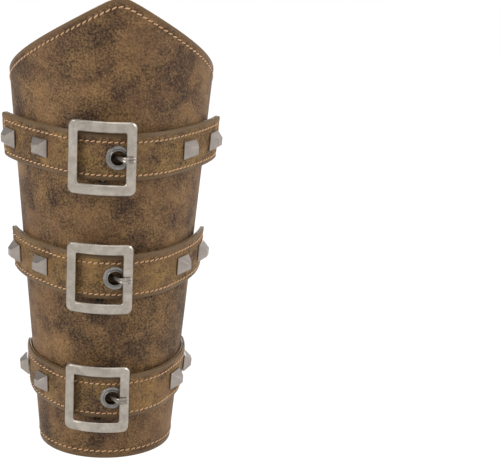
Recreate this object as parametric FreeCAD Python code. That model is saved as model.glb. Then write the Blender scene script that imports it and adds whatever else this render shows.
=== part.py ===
import FreeCAD, Part
import math
import os

# A stitched leather forearm guard: a two-layer leather tube, open and laced along the back, with three
# decorative buckled straps across the front. Millimetres, +Z up. The origin is the middle of the wrist
# rim, which stands on the floor. The front faces -Y and the lacing runs up the back, at +Y. Left and
# right are as seen from the front.

Vector = FreeCAD.Vector

# Leather tube
wrist_radius = 38.3
elbow_radius = 59.5
front_height = 258.0
outer_leather = 1.6
lining_leather = 1.2
glue_line = 0.1
rim_slope = 0.59
peak_round = 8.0
top_corner_round = 6.0
bottom_corner_round = 7.0

# Lacing gap
gap_at_wrist = 6.4
gap_at_rim = 17.0
gap_flare_power = 3.0

# Lace eyelets
eyelets_per_side = 7
eyelet_from_gap = 11.0
eyelet_above_wrist = 20.0
eyelet_below_rim = 16.5
eyelet_diameter = 11.5
eyelet_bore = 6.5
eyelet_wall = 0.5
eyelet_crown = 1.1
eyelet_washer_thickness = 0.5
leather_hole_clearance = 0.1

# Straps, measured along the front of the tube
strap_heights = {"top": 177.2, "middle": 111.2, "bottom": 41.0}
strap_flare_radii = {"top": 97.0, "middle": 70.0, "bottom": 45.0}
strap_width = 25.0
strap_half_length = 79.0
strap_face_leather = 1.3
strap_backing_leather = 1.0
strap_corner_round = 4.0
strap_stand_off = 4.6
seat_clearance = 0.3

# Strap grommet
grommet_diameter = 13.0
grommet_bore = 7.6
grommet_wall = 0.5
grommet_flange = 0.7
grommet_washer_diameter = 12.0
grommet_washer_thickness = 0.5

# Buckle
frame_width = 36.0
frame_height = 39.5
frame_side = 5.2
frame_end = 6.0
frame_thickness = 2.4
frame_corner_round = 3.5
frame_bevel = 0.6
frame_clearance = 1.8
frame_offset = 8.2
bar_radius = 1.0
bar_fit = 0.02
lug_length = 3.2
lug_wall = 0.96

# Prong
prong_width = 3.2
prong_thickness = 1.5
prong_fit = 0.08
prong_loop_wall = 0.88
prong_rest_clearance = 0.15
prong_groove_radius = 0.7
prong_groove_depth = 0.35
prong_tip_setback = 1.2
prong_dip_from_grommet = 3.0
prong_back_clearance = 0.2

# Studs
inner_stud_reach = 44.0
outer_stud_reach = 69.0
stud_base = 10.0
stud_top = 4.3
stud_plinth = 0.8
stud_height = 4.9
stud_post_radius = 1.5
stud_cap_radius = 4.0
stud_cap_thickness = 0.8
stud_seat_clearance = 0.1
cap_recess_clearance = 0.15

# Round and bent pieces are modelled with flat sides: how many, or the widest turn between two of them
tube_sides = 56
ring_sides = 10
post_sides = 8
strap_step = math.radians(11)
frame_step = math.radians(9)

# Lace: a waxed cord of this diameter, a little flattened where it is pulled tight
lace_diameter = 2.8
lace_sides = 6
lace_step = math.radians(40)
lace_clearance = 0.2
lace_shift_in_eyelet = 0.9
crossing_spread = 3.0
arc_share = 0.45

# Worked out from the sizes above
tube_slope = (elbow_radius - wrist_radius) / front_height
half_angle = math.atan(tube_slope)
wall = outer_leather + glue_line + lining_leather
strap_thickness = strap_face_leather + strap_backing_leather
loop_radius = bar_radius + prong_fit + prong_loop_wall


def tube_radius(height):
    return wrist_radius + tube_slope * height


def rim_height(angle):
    """Height of the top rim: two cuts that are straight in the flat pattern and meet in a round peak."""
    peak_from_apex = tube_radius(front_height) / math.sin(half_angle)
    rounding = rim_slope * peak_round / tube_radius(front_height)
    turned = math.hypot(angle, rounding) - rounding
    cut_angle = math.atan(rim_slope)
    from_apex = peak_from_apex * math.cos(cut_angle) / math.cos(turned * math.sin(half_angle) - cut_angle)
    return front_height - (peak_from_apex - from_apex) * math.cos(half_angle)


back_height = rim_height(math.pi)


def half_gap(height):
    share = max(height, 0.0) / back_height
    return (gap_at_wrist + (gap_at_rim - gap_at_wrist) * share ** gap_flare_power) / 2


def eyelet_height(row):
    """Row 1 is the top row."""
    pitch = (back_height - eyelet_above_wrist - eyelet_below_rim) / (eyelets_per_side - 1)
    return eyelet_above_wrist + pitch * (eyelets_per_side - row)


def frame_at(origin, across, up, outward):
    """Placement whose X runs across, Y up and Z outward."""
    matrix = FreeCAD.Matrix(
        across.x, up.x, outward.x, origin.x,
        across.y, up.y, outward.y, origin.y,
        across.z, up.z, outward.z, origin.z,
        0, 0, 0, 1)
    return FreeCAD.Placement(matrix)


def seat_on_tube(angle, height):
    """Placement on the tube's outer face, angle from the front towards +X, with Z outward."""
    radius = tube_radius(height)
    across = Vector(math.cos(angle), math.sin(angle), 0)
    outward = Vector(
        math.sin(angle) * math.cos(half_angle), -math.cos(angle) * math.cos(half_angle), -math.sin(half_angle))
    up = outward.cross(across)
    origin = Vector(radius * math.sin(angle), -radius * math.cos(angle), height)
    return frame_at(origin, across, up, outward)


def placed(shape, placement):
    moved = shape.copy()
    moved.Placement = placement.multiply(moved.Placement)
    return moved


def flat_faces(points):
    """One flat face through the points, or a fan of them where they don't lie in one plane."""
    normal = (points[1] - points[0]).cross(points[2] - points[0]).normalize()
    if all(abs((point - points[0]).dot(normal)) < 1e-6 for point in points):
        return [Part.Face(Part.makePolygon(points + points[:1]))]
    faces = []
    for second, third in zip(points[1:], points[2:]):
        faces.append(Part.Face(Part.makePolygon([points[0], second, third, points[0]])))
    return faces


def skinned(sections, closed=False):
    """Solid through a row of outlines with as many points each. A closed row returns to its first outline."""
    faces = []
    if closed:
        sections = sections + sections[:1]
    else:
        faces += flat_faces(sections[0]) + flat_faces(sections[-1])
    for low, high in zip(sections, sections[1:]):
        for index in range(len(low)):
            after = (index + 1) % len(low)
            faces += flat_faces([low[index], low[after], high[after], high[index]])
    solid = Part.Solid(Part.Shell(faces))
    if solid.Volume < 0:
        solid.reverse()
    return solid


def polygon(radius, height, sides):
    """Corners of a regular polygon about Z whose flats touch a circle of this radius."""
    reach = radius / math.cos(math.pi / sides)
    angles = [2 * math.pi * (step + 0.5) / sides for step in range(sides)]
    return [Vector(reach * math.cos(angle), reach * math.sin(angle), height) for angle in angles]


def post(radius, low, high, sides):
    return skinned([polygon(radius, low, sides), polygon(radius, high, sides)])


def turned_profile(points, sides):
    """Ring about Z from a closed outline of radius and height pairs."""
    return skinned([polygon(radius, height, sides) for radius, height in points], True)


def ring(inner_radius, outer_radius, low, high, sides):
    outline = [(inner_radius, low), (outer_radius, low), (outer_radius, high), (inner_radius, high)]
    return turned_profile(outline, sides)


# Leather tube

def rim_cutter():
    """Everything above the top rim, which is cut in short flats, closest together round the peak."""
    steps = 18
    reach = math.radians(178)
    crowding = 1.5
    top = 2 * front_height
    sections = []
    for step in range(-steps, steps + 1):
        angle = math.copysign((abs(step) / steps) ** crowding * reach, step)
        inward = 0.5 * tube_radius(rim_height(angle))
        outward = 3 * inward
        rim = rim_height(angle)
        section = []
        for radius, height in ((inward, rim), (outward, rim), (outward, top), (inward, top)):
            section.append(Vector(radius * math.sin(angle), -radius * math.cos(angle), height))
        sections.append(section)
    return skinned(sections)


def gap_cutter():
    """The lacing gap, which opens towards the top rim."""
    steps = 8
    low = -wall
    high = front_height + wall
    sections = []
    for step in range(steps + 1):
        height = low + (high - low) * step / steps
        across = half_gap(height)
        sections.append([
            Vector(-across, 0, height), Vector(across, 0, height), Vector(across, 2 * elbow_radius, height),
            Vector(-across, 2 * elbow_radius, height)])
    return skinned(sections)


def corner_cutter(corner, first, second, radius):
    """What a rounded corner leaves outside itself, between two edges seen along Y that leave the corner."""
    half = first.getAngle(second) / 2
    centre = corner + (first + second).normalize() * (radius / math.sin(half))
    outside_first = (first * first.dot(second) - second).normalize() * wall
    outside_second = (second * first.dot(second) - first).normalize() * wall
    trim = radius / math.tan(half)
    outline = [
        centre, corner + first * trim + outside_first, corner + outside_first + outside_second,
        corner + second * trim + outside_second]
    block = Part.Face(Part.makePolygon(outline + outline[:1])).extrude(Vector(0, 2 * elbow_radius, 0))
    return block.cut(Part.makeCylinder(radius, 2 * elbow_radius, centre, Vector(0, 1, 0)))


def wrist_corner_cutter(side):
    return corner_cutter(Vector(side * half_gap(0), 0, 0), Vector(0, 0, 1), Vector(side, 0, 0), bottom_corner_round)


def top_corner_cutter(side):
    """Made a little above the rim, which curves up from the corner."""
    def on_rim(across):
        return Vector(side * across, 0, rim_height(math.pi - math.asin(across / tube_radius(back_height))))
    corner = on_rim(half_gap(back_height))
    below = corner.z - top_corner_round
    along_gap = Vector(side * half_gap(below), 0, below) - corner
    along_rim = on_rim(half_gap(back_height) + top_corner_round) - corner
    return corner_cutter(corner, along_gap.normalize(), along_rim.normalize(), top_corner_round)


def leather_layer(depth, thickness):
    """One layer of the tube, its outer face at a depth below the tube's outer face."""
    outer = depth / math.cos(half_angle)
    inner = (depth + thickness) / math.cos(half_angle)
    layer = turned_profile([
        (wrist_radius - inner, 0), (wrist_radius - outer, 0), (elbow_radius - outer, front_height),
        (elbow_radius - inner, front_height)], tube_sides)
    layer = layer.cut(rim_cutter()).cut(gap_cutter())
    for side in (-1, 1):
        layer = layer.cut(wrist_corner_cutter(side)).cut(top_corner_cutter(side))
    return layer.Solids[0]


# Lace eyelets

def eyelet_seat(side, row):
    """Side -1 is left and 1 is right."""
    height = eyelet_height(row)
    angle = math.pi - (half_gap(height) + eyelet_from_gap) / tube_radius(height)
    return seat_on_tube(side * angle, height)


def sagitta(radius, half_width):
    """How far a curve of this radius falls away over a half width."""
    return radius - math.sqrt(radius ** 2 - half_width ** 2)


def eyelet():
    """A crowned flange outside and a barrel that ends in the washer's plane inside."""
    bore = eyelet_bore / 2
    rim = eyelet_diameter / 2
    middle = (bore + rim) / 2
    barrel = bore + eyelet_wall
    foot = -(wall + sagitta(wrist_radius - wall, rim) + eyelet_washer_thickness)
    return turned_profile([
        (bore, foot), (barrel, foot), (barrel, glue_line), (rim, glue_line),
        (rim - 0.3 * eyelet_crown, 0.6 * eyelet_crown), (middle, eyelet_crown), (bore, 0.2 * eyelet_crown)], ring_sides)


def eyelet_washer():
    barrel = eyelet_bore / 2 + eyelet_wall
    top = -(wall + sagitta(wrist_radius - wall, eyelet_diameter / 2))
    return ring(barrel + bar_fit, eyelet_diameter / 2, top - eyelet_washer_thickness, top, ring_sides)


# Straps

class StrapRun:
    """The line of a strap's back in its own frame: X across the front, Y up the tube, Z outward.

    An arc stands off the tube at the front, a straight tangent comes down to the tube, and an arc of
    wider radius leaves it again towards the strap's end.
    """

    def __init__(self, place):
        self.height = strap_heights[place]
        self.flare_radius = strap_flare_radii[place]
        self.tube = tube_radius(self.height) / math.sqrt(math.cos(2 * half_angle))
        lift = strap_stand_off - seat_clearance
        self.touch = inner_stud_reach / (self.tube + seat_clearance + 2 * lift / 3)
        self.shift = lift / (1 - math.cos(self.touch))
        self.arc_radius = self.tube + seat_clearance - self.shift * math.cos(self.touch)
        self.arc_length = self.arc_radius * self.touch
        self.line_length = self.shift * math.sin(self.touch)
        flare_length = strap_half_length - self.arc_length - self.line_length
        self.end = self.touch + flare_length / self.flare_radius

    def arc_centre(self):
        return self.shift - self.tube

    def on_arc(self, angle, up, offset):
        tube = self.tube + up * math.sin(half_angle)
        radius = self.arc_radius + up * math.sin(half_angle) + offset
        return Vector(radius * math.sin(angle), up, self.shift - tube + radius * math.cos(angle))

    def on_flare(self, angle, up, offset):
        """Angle is positive, and the point is on the right."""
        tube = self.tube + up * math.sin(half_angle)
        centre = tube + seat_clearance - self.flare_radius
        radius = self.flare_radius + offset
        across = centre * math.sin(self.touch) + radius * math.sin(angle)
        return Vector(across, up, centre * math.cos(self.touch) + radius * math.cos(angle) - tube)

    def seat(self, reach, offset):
        """Placement on the strap at a distance along it from the front, with Z outward."""
        along = abs(reach)
        if along < self.arc_length:
            angle = along / self.arc_radius
            point = self.on_arc(angle, 0, 0)
        elif along < self.arc_length + self.line_length:
            angle = self.touch
            tangent = Vector(math.cos(angle), 0, -math.sin(angle))
            point = self.on_arc(angle, 0, 0) + tangent * (along - self.arc_length)
        else:
            angle = self.touch + (along - self.arc_length - self.line_length) / self.flare_radius
            point = self.on_flare(angle, 0, 0)
        lean = min(angle, self.touch)
        across = Vector(math.cos(angle), 0, -math.sin(angle))
        up = Vector(math.sin(half_angle) * math.sin(lean), 1, math.sin(half_angle) * (math.cos(lean) - 1))
        if reach < 0:
            point.x = -point.x
            across = Vector(across.x, 0, -across.z)
            up.x = -up.x
        outward = across.cross(up).normalize()
        return frame_at(point + outward * offset, across, outward.cross(across), outward)

    def place(self):
        return seat_on_tube(0, self.height)


def mirrored(point):
    return Vector(-point.x, point.y, point.z)


def turns(start, end, step):
    """Evenly spaced angles from start to end, no further apart than a step."""
    count = math.ceil((end - start) / step)
    return [start + (end - start) * index / count for index in range(count + 1)]


def strap_chain(run, up, offset):
    """Points of a strap face's line from the left end to the right end."""
    half = [run.on_arc(angle, up, offset) for angle in turns(0, run.touch, strap_step)]
    half += [run.on_flare(angle, up, offset) for angle in turns(run.touch, run.end, strap_step)]
    return [mirrored(point) for point in half[:0:-1]] + half


def strap_section(run, up, low, high):
    """Outline of a strap layer at one height."""
    return strap_chain(run, up, low) + strap_chain(run, up, high)[::-1]


def strap_slab(run, low, high):
    """Square-ended layer, made in short blocks along the strap."""
    half_width = strap_width / 2
    outlines = [strap_section(run, up, low, high) for up in (-half_width, half_width)]
    blocks = []
    count = len(outlines[0]) // 2
    for index in range(count):
        opposite = -1 - index
        blocks.append([outlines[0][index], outlines[0][opposite], outlines[1][opposite], outlines[1][index]])
    return skinned(blocks)


def strap_layer(run, low, high):
    """A layer of the strap between two offsets from its back, with rounded ends."""
    half_width = strap_width / 2
    layer = strap_slab(run, low, high)
    corners = []
    for edge in layer.Edges:
        middle = edge.CenterOfMass
        short = edge.Length < strap_thickness
        if short and abs(abs(middle.y) - half_width) < glue_line and len(edge.Vertexes) == 2:
            end = run.on_flare(run.end, middle.y, (low + high) / 2)
            if abs(abs(middle.x) - end.x) < strap_thickness:
                corners.append(edge)
    return layer.makeFillet(strap_corner_round, corners)


def stud_reaches():
    return {
        "out_left": -outer_stud_reach, "in_left": -inner_stud_reach,
        "in_right": inner_stud_reach, "out_right": outer_stud_reach}


def drill(shape, placement, radius, low, high, sides):
    return shape.cut(placed(post(radius, low, high, sides), placement))


def strap_solids(run):
    """Face and backing in the strap's frame, drilled for the grommet and the studs."""
    face = strap_layer(run, strap_backing_leather, strap_thickness)
    backing = strap_layer(run, 0, strap_backing_leather)
    drills = []
    grommet_hole = grommet_bore / 2 + grommet_wall + leather_hole_clearance
    drills.append((run.seat(0, 0), grommet_hole, ring_sides))
    for reach in stud_reaches().values():
        drills.append((run.seat(reach, 0), stud_post_radius + leather_hole_clearance, post_sides))
    for seat, radius, sides in drills:
        face = drill(face, seat, radius, -strap_thickness, 2 * strap_thickness, sides)
        backing = drill(backing, seat, radius, -strap_thickness, 2 * strap_thickness, sides)
    recess = stud_cap_thickness + cap_recess_clearance - seat_clearance
    recess_radius = stud_cap_radius + cap_recess_clearance
    for reach in (-outer_stud_reach, outer_stud_reach):
        backing = drill(backing, run.seat(reach, 0), recess_radius, -strap_thickness, recess, post_sides)
    return face, backing


# Strap grommet

def grommet(run):
    """Flange on the strap's face and a barrel down to the washer behind the strap."""
    bore = grommet_bore / 2
    rim = grommet_diameter / 2
    low = strap_stand_off - grommet_drop(run) - grommet_washer_thickness
    face = strap_stand_off + strap_thickness + stud_seat_clearance
    top = face + grommet_flange
    barrel = bore + grommet_wall
    return turned_profile([
        (bore, low), (barrel, low), (barrel, face), (rim, face),
        (rim - 0.3 * grommet_flange, face + 0.6 * grommet_flange), ((bore + rim) / 2, top),
        (bore, face + 0.4 * grommet_flange)], ring_sides)


def grommet_drop(run):
    return sagitta(run.arc_radius, grommet_washer_diameter / 2) + stud_seat_clearance


def grommet_washer(run):
    top = strap_stand_off - grommet_drop(run)
    barrel = grommet_bore / 2 + grommet_wall
    return ring(barrel + bar_fit, grommet_washer_diameter / 2, top - grommet_washer_thickness, top, ring_sides)


# Studs

def stud(length):
    """A four-sided frustum on a thin plinth, with a post of a given length behind."""
    base = stud_base / 2
    top = stud_top / 2
    plinth = Part.makeBox(stud_base, stud_base, stud_plinth, Vector(-base, -base, 0))
    frustum = Part.makeWedge(-base, stud_plinth, -base, -top, -top, base, stud_height, base, top, top)
    frustum.rotate(Vector(0, 0, 0), Vector(1, 0, 0), 90)
    solid = plinth.fuse(frustum).fuse(post(stud_post_radius, -length, 0, post_sides))
    return solid.removeSplitter()


def stud_depths(run, reach):
    """Post length below the stud, and cap position below the stud's base, at a reach."""
    inner = abs(reach) == inner_stud_reach
    above_tube = strap_thickness + stud_seat_clearance
    if inner:
        cap_top = above_tube + seat_clearance + wall + 2 * sagitta(wrist_radius, stud_cap_radius)
    else:
        cap_top = above_tube + seat_clearance - stud_cap_thickness
    return cap_top + stud_cap_thickness, cap_top


def stud_cap():
    """Ring round the foot of a stud's post, its top at zero."""
    return ring(stud_post_radius + bar_fit, stud_cap_radius, -stud_cap_thickness, 0, post_sides)


# Buckle

def buckle_turn(run):
    """Turn of the buckle about the strap's front arc, which sets it beside the grommet."""
    return frame_offset / (run.arc_radius + strap_thickness)


def frame_radius(run):
    return run.arc_radius + strap_thickness + frame_clearance


def polar_about_arc(run, radius, angle, up=0):
    return Vector(radius * math.sin(angle), up, run.arc_centre() + radius * math.cos(angle))


def frame_plate(run, low, high):
    """The bent plate with bevelled outer edges and corners rounded in two flats."""
    middle = (low + high) / 2
    half_height = frame_height / 2
    near = frame_corner_round * (1 - math.cos(math.pi / 4))
    spread = frame_width / 2 / middle
    straight = spread - frame_corner_round / middle
    right = [
        (spread - near / middle, half_height - near, high),
        (spread, half_height - frame_corner_round, high - frame_bevel)]
    left = [(-angle, height, top) for angle, height, top in right[::-1]]
    stations = left + [(angle, half_height, high) for angle in turns(-straight, straight, frame_step)] + right
    sections = []
    for angle, height, top in stations:
        outline = [
            (-height, low), (height, low), (height, high - frame_bevel), (height - frame_bevel, top),
            (frame_bevel - height, top), (-height, high - frame_bevel)]
        sections.append([polar_about_arc(run, radius, angle, up) for up, radius in outline])
    return skinned(sections)


def bent_block(run, low, high, flare):
    """The frame's window as a bent block, wider by a flare on each side at its outer face."""
    middle = frame_radius(run) + frame_thickness / 2
    half_height = frame_height / 2 - frame_end
    spread = (frame_width / 2 - frame_side) / middle
    angles = turns(-spread, spread, frame_step)
    sections = []
    for angle in angles:
        lean = 0
        if angle in (angles[0], angles[-1]):
            lean = math.copysign(flare / middle, angle)
        sections.append([
            polar_about_arc(run, low, angle, -half_height), polar_about_arc(run, low, angle, half_height),
            polar_about_arc(run, high, angle + lean, half_height + flare),
            polar_about_arc(run, high, angle + lean, -half_height - flare)])
    return skinned(sections)


def buckle_centre(run):
    """Middle of the bar in the strap's frame, just behind the strap."""
    radius = run.arc_radius - prong_back_clearance - loop_radius
    turn = buckle_turn(run)
    return Vector(-radius * math.sin(turn), 0, run.arc_centre() + radius * math.cos(turn))


def turned_to_buckle(shape, run):
    centre = Vector(0, 0, run.arc_centre())
    moved = shape.copy()
    moved.rotate(centre, Vector(0, 1, 0), -math.degrees(buckle_turn(run)))
    return moved


def buckle_frame(run):
    low = frame_radius(run)
    high = low + frame_thickness
    half_height = frame_height / 2
    window_half_height = half_height - frame_end
    plate = frame_plate(run, low, high).cut(bent_block(run, low - frame_thickness, high + frame_thickness, 0))
    plate = plate.cut(bent_block(run, high - frame_bevel, high + frame_bevel, 2 * frame_bevel))
    bar_radius_from_centre = run.arc_radius - prong_back_clearance - loop_radius
    bar_height = run.arc_centre() + bar_radius_from_centre
    lug_radius = bar_radius + lug_wall
    for side in (-1, 1):
        start = window_half_height if side > 0 else -window_half_height - lug_length
        block_height = frame_thickness / 2 + low - bar_radius_from_centre
        block = Part.makeBox(
            2 * lug_radius, lug_length, block_height, Vector(-lug_radius, start, bar_height))
        lug = post(lug_radius, start, start + lug_length, ring_sides)
        plate = plate.fuse(block).fuse(laid_across(lug, bar_height))
    bar_hole = post(bar_radius + bar_fit, -half_height, half_height, ring_sides)
    plate = plate.cut(laid_across(bar_hole, bar_height)).removeSplitter()
    return turned_to_buckle(plate, run)


def laid_across(shape, height):
    """A shape made about Z, laid along the strap's width at a height above the strap's origin."""
    lie = FreeCAD.Placement(Vector(0, 0, height), FreeCAD.Rotation(Vector(1, 0, 0), -90))
    return placed(shape, lie)


def round_post(radius, half_length):
    return Part.makeCylinder(radius, 2 * half_length, Vector(0, 0, -half_length))


def buckle_bar(run):
    half_length = frame_height / 2 - frame_end + lug_length
    bar_height = run.arc_centre() + run.arc_radius - prong_back_clearance - loop_radius
    return turned_to_buckle(laid_across(round_post(bar_radius, half_length), bar_height), run)


def thick_line(points, thickness):
    """Face in the XZ plane that follows a line of points at a constant thickness."""
    sides = ([], [])
    for index, point in enumerate(points):
        before = points[max(index - 1, 0)]
        after = points[min(index + 1, len(points) - 1)]
        first = (point - before).normalize() if index > 0 else (after - point).normalize()
        second = (after - point).normalize() if index < len(points) - 1 else first
        tangent = (first + second).normalize()
        normal = Vector(-tangent.z, 0, tangent.x)
        half = thickness / 2 / tangent.dot(first)
        sides[0].append(point + normal * half)
        sides[1].append(point - normal * half)
    outline = sides[0] + sides[1][::-1]
    return Part.Face(Part.makePolygon(outline + outline[:1]))


def buckle_prong(run):
    """A loop on the bar, a strip under the strap, up through the grommet and onto the frame's side."""
    centre = buckle_centre(run)
    rest_radius = frame_radius(run) + frame_thickness + prong_rest_clearance + prong_thickness / 2
    middle = frame_radius(run) + frame_thickness / 2
    turn = buckle_turn(run)
    window_edge = (frame_width / 2 - frame_side) / middle - turn
    frame_edge = frame_width / 2 / middle - turn
    dip = Vector(-prong_dip_from_grommet, 0, centre.z)
    crest = polar_about_arc(run, rest_radius, window_edge - prong_thickness / 1.5 / middle)
    tip = polar_about_arc(run, rest_radius, frame_edge - prong_tip_setback / middle)
    saddle = polar_about_arc(run, rest_radius, (window_edge + frame_edge) / 2)
    start = centre + Vector(bar_radius + prong_fit + prong_loop_wall / 2, 0, 0)
    strip = thick_line([start, dip, crest, saddle, tip], prong_thickness)
    half_width = prong_width / 2
    strip.translate(Vector(0, -half_width, 0))
    strip = strip.extrude(Vector(0, prong_width, 0))
    across = Vector(centre.x, 0, 0)
    loop = laid_across(post(loop_radius, -half_width, half_width, ring_sides), centre.z)
    eye = laid_across(round_post(bar_radius + prong_fit, half_width), centre.z)
    prong = strip.fuse(loop.translated(across)).cut(eye.translated(across))
    direction = (tip - crest).normalize()
    outward = Vector(-direction.z, 0, direction.x)
    groove_start = crest + outward * (prong_thickness / 2 + prong_groove_radius - prong_groove_depth)
    groove = Part.makeCylinder(prong_groove_radius, 2 * frame_side, groove_start, direction)
    return prong.cut(groove).removeSplitter()


# Lace

def lace_point(across, height, out):
    """A point near the back: across the gap towards +X, and out from the tube's outer face."""
    radius = tube_radius(height)
    angle = math.pi - across / radius
    return Vector((radius + out) * math.sin(angle), -(radius + out) * math.cos(angle), height)


def lace_levels():
    """Distances of the lace's middle line from the tube's outer face."""
    reach = lace_diameter / 2 + lace_clearance
    washer_depth = sagitta(wrist_radius - wall, eyelet_diameter / 2) + eyelet_washer_thickness
    return {
        "on leather": reach, "on rim": eyelet_crown + reach + 2 * lace_clearance,
        "on eyelet": eyelet_crown + reach + 3 * lace_clearance,
        "under leather": -(wall + reach), "under washer": -(wall + washer_depth + reach)}


def eyelet_turn(side, row):
    """The two corners of the fold through an eyelet, inside and then outside."""
    height = eyelet_height(row)
    across = side * (half_gap(height) + eyelet_from_gap + lace_shift_in_eyelet)
    levels = lace_levels()
    return [lace_point(across, height, levels["under washer"]), lace_point(across, height, levels["on eyelet"])]


def straight_height(side, row, across):
    """Height on the straight line from an eyelet to the next lower one across the gap."""
    high = eyelet_height(row)
    low = eyelet_height(row + 1)
    start = side * (half_gap(high) + eyelet_from_gap)
    end = -side * (half_gap(low) + eyelet_from_gap)
    return high + (low - high) * (across - start) / (end - start)


def crown_rim(row):
    """Distance across from the middle of the gap to the side of an eyelet that is nearest to it."""
    return half_gap(eyelet_height(row)) + eyelet_from_gap - eyelet_diameter / 2


def crossing(side, row):
    """Points from an eyelet down across the gap and under the other panel, without the eyelets' own.

    The lace from the right eyelet stays outside until the left panel's edge, and the lace from the left
    eyelet dips at that edge and runs beneath it.
    """
    middle = (eyelet_height(row) + eyelet_height(row + 1)) / 2
    gap = half_gap(middle)
    levels = lace_levels()
    beside_edge = gap - lace_diameter / 2 - lace_clearance
    spare = max(2 * (beside_edge - lace_diameter / 2), lace_clearance)
    if side > 0:
        stops = [
            (crown_rim(row), levels["on rim"], 0.2),
            (gap + lace_clearance, levels["on leather"] + 2 * lace_clearance, 0.3),
            (-beside_edge + 0.35 * spare, levels["on leather"] - 0.35 * spare, -crossing_spread),
            (-beside_edge - 0.15 * spare, levels["under leather"], -1.2 * crossing_spread),
            (-gap - lace_diameter, levels["under leather"] - lace_clearance, -0.5 * crossing_spread)]
    else:
        stops = [
            (-crown_rim(row), levels["on rim"], 0.5 * crossing_spread),
            (-beside_edge, levels["on leather"] + lace_clearance, crossing_spread),
            (-beside_edge + 0.6 * spare, levels["under leather"] + 0.5, 0.8 * crossing_spread),
            (gap + lace_diameter, levels["under leather"] - lace_clearance, 0.2 * crossing_spread)]
    return [lace_point(across, straight_height(side, row, across) + shift, out) for across, out, shift in stops]


def last_crossing(side):
    """Points of the lowest crossing, where both runs lie outside: the one from the left is on top."""
    row = eyelets_per_side - 1
    lift = 0 if side > 0 else lace_diameter + lace_clearance
    levels = lace_levels()
    on_rim = levels["on rim"] + 0.2 * lift
    stops = [
        (side * crown_rim(row), on_rim), (0, levels["on leather"] + 1.2 * lift - lace_clearance),
        (-side * crown_rim(row + 1), on_rim)]
    return [lace_point(across, straight_height(side, row, across), out) for across, out in stops]


def lace_strand(first_side):
    """One half of the lace, from behind the top eyelet down to inside the lowest one."""
    points = []
    side = first_side
    for row in range(1, eyelets_per_side - 1):
        points += eyelet_turn(side, row) + crossing(side, row)
        side = -side
    points += eyelet_turn(side, eyelets_per_side - 1) + last_crossing(side)
    points += eyelet_turn(-side, eyelets_per_side)[::-1]
    return points


def knot_points(steps):
    """Points of the knot, given across, above the top eyelets' height and out."""
    return [lace_point(across, eyelet_height(1) + above, out) for across, above, out in steps]


def lace_route():
    """The whole lace from one free end to the other."""
    right_end = knot_points([
        (5.5, -19.0, -9.0), (3.5, -11.0, -10.0), (-2.5, -5.0, -11.0), (-6.0, -0.5, -9.0), (-1.5, 4.5, -5.2),
        (4.5, 5.5, -5.4), (9.5, 2.0, -7.0)])
    left_end = knot_points([
        (-10.0, -1.5, -7.2), (-4.5, -4.0, -6.4), (2.5, -2.8, -7.4), (4.2, 1.8, -9.6), (-1.0, 6.0, -9.2),
        (-6.0, 11.5, -7.8), (-9.5, 15.5, -8.6), (-12.0, 11.5, -11.0), (-6.0, 5.5, -13.2), (0.5, 0.0, -14.0),
        (5.5, -6.5, -12.8)])
    return right_end + lace_strand(1) + lace_strand(-1)[::-1] + left_end


def rounded_path(points, share):
    """Straight runs joined by tangent arcs, each as large as its two runs allow."""
    edges = []
    radii = []
    start = points[0]
    for before, corner, after in zip(points, points[1:], points[2:]):
        inward = (corner - before).normalize()
        onward = (after - corner).normalize()
        half_turn = inward.getAngle(onward) / 2
        run = min((corner - before).Length, (after - corner).Length)
        trim = share * run
        radii.append(trim / math.tan(half_turn))
        arc_start = corner - inward * trim
        arc_end = corner + onward * trim
        towards_centre = (onward - inward).normalize()
        depth = radii[-1] / math.cos(half_turn) - radii[-1]
        edges.append(Part.makeLine(start, arc_start))
        edges.append(Part.Arc(arc_start, corner + towards_centre * depth, arc_end).toShape())
        start = arc_end
    edges.append(Part.makeLine(start, points[-1]))
    return edges, radii


def lace_stations(edges):
    """Points and directions along the path: the ends of its straight runs, and steps round its arcs."""
    stations = []
    for edge in edges:
        turn = edge.tangentAt(edge.FirstParameter).getAngle(edge.tangentAt(edge.LastParameter))
        spans = max(1, math.ceil(turn / lace_step))
        for index in range(1 if stations else 0, spans + 1):
            parameter = edge.FirstParameter + (edge.LastParameter - edge.FirstParameter) * index / spans
            stations.append((edge.valueAt(parameter), edge.tangentAt(parameter)))
    return stations


def lace():
    """A flat-sided cord whose section keeps its area and doesn't twist along the way."""
    edges, radii = rounded_path(lace_route(), arc_share)
    area = math.pi * lace_diameter ** 2 / 4
    reach = math.sqrt(2 * area / (lace_sides * math.sin(2 * math.pi / lace_sides)))
    side = Vector(1, 0, 0)
    sections = []
    for point, tangent in lace_stations(edges):
        side = (side - tangent * side.dot(tangent)).normalize()
        across = tangent.cross(side)
        corners = []
        for step in range(lace_sides):
            angle = 2 * math.pi * step / lace_sides
            corners.append(point + side * (reach * math.cos(angle)) + across * (reach * math.sin(angle)))
        sections.append(corners)
    cord = skinned(sections)
    length = Part.Wire(edges).Length
    print("lace length", round(length), "smallest radii", [round(radius, 1) for radius in sorted(radii)[:6]])
    print("lace volume", round(cord.Volume), "section by length", round(area * length))
    return cord


# Writing the pieces

def save(name, shape, placement=FreeCAD.Placement()):
    result = placed(shape, placement)
    result.exportStep("parts/" + name + ".step")
    print(name, "volume", round(result.Volume, 1), "solids", len(result.Solids), "valid", result.isValid())


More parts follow.
